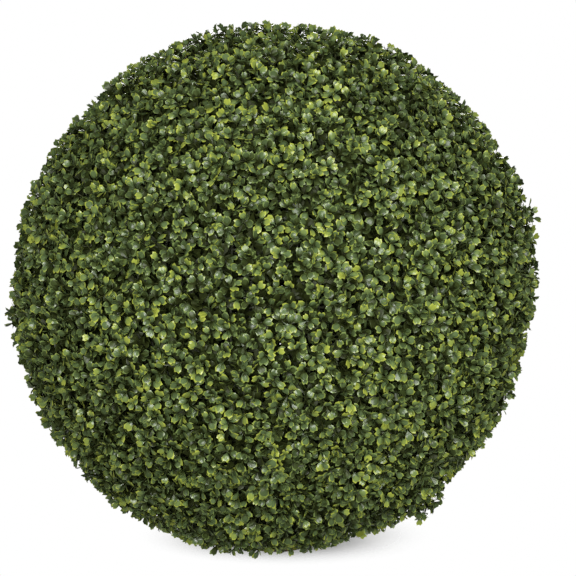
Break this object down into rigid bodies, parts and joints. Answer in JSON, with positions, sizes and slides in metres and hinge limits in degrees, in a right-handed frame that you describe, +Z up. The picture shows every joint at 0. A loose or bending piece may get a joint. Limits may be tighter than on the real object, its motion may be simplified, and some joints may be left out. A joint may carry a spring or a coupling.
{
  "type": "artificial box topiary ball",
  "caption": "Round artificial topiary ball of small glossy box leaves on an open plastic core, standing on a short hidden stem.",
  "frame": {"origin": "middle of the flat cut under the stem, on the ground", "axes": "+Z up from the ground through the middle of the ball, -Y towards the front, +X to the right seen from the front"},
  "size_m": [0.5856, 0.5758, 0.5793],
  "materials": {
    "foliage": "glossy moulded leaves, dark green with pale green rims",
    "core": "moulded lattice, dull",
    "stem": "rough bark"
  },
  "bodies": {
    "root": {"foliage_front": "foliage", "foliage_back": "foliage", "foliage_left": "foliage", "foliage_right": "foliage", "foliage_top": "foliage", "foliage_bottom": "foliage", "core_upper_half": "core", "core_lower_half": "core", "stem": "stem"}
  },
  "joints": []
}
